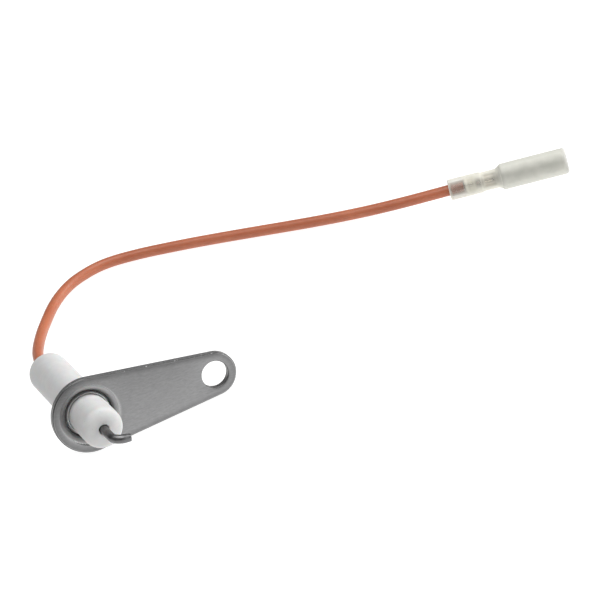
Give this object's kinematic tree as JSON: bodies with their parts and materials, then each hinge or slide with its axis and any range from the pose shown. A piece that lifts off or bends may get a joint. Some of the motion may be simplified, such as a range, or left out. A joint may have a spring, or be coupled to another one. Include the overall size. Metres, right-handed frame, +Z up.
{
  "type": "flame sensor",
  "caption": "Flame sensor with a bent metal rod in a round white ceramic, a stamped steel bracket, and an orange lead that ends in a sleeved bullet terminal.",
  "frame": {"origin": "middle of the base of the probe's box, its lead left out, on the surface the probe lies on", "axes": "+Z up; -Y the level direction in which the ceramic's nose points; +X the side to which the bracket's screw hole points"},
  "size_m": [0.1443, 0.0971, 0.0175],
  "materials": {
    "bracket_steel": "plain rolled sheet, faint mill grain",
    "white_ceramic": "unglazed, smooth and matt",
    "rod_metal": "dark heat-resisting alloy wire, satin",
    "ferrule_metal": "plain drawn tube",
    "tinned_copper": "stranded tinned copper",
    "seal_cement": "cast potting cement",
    "wire_insulation": "terracotta silicone rubber, satin",
    "frosted_nylon": "natural nylon, frosted and translucent",
    "terminal_tin": "tin-plated brass"
  },
  "bodies": {
    "probe": {"ceramic_insulator": "white_ceramic", "electrode_rod": "rod_metal", "rod_ferrule": "ferrule_metal", "lead_conductor_inner": "tinned_copper", "rear_seal": "seal_cement", "lead_wire": "wire_insulation", "terminal_sleeve": "frosted_nylon", "bullet_terminal": "terminal_tin", "lead_conductor_outer": "tinned_copper"},
    "bracket": {"mounting_bracket": "bracket_steel"}
  },
  "joints": [
    {"name": "bracket_swivel", "type": "hinge", "parent": "probe", "child": "bracket", "pos_m": [-0.01309, -0.00744, 0.00889], "axis": [0, -0.9921, 0.1255], "continuous": true}
  ]
}
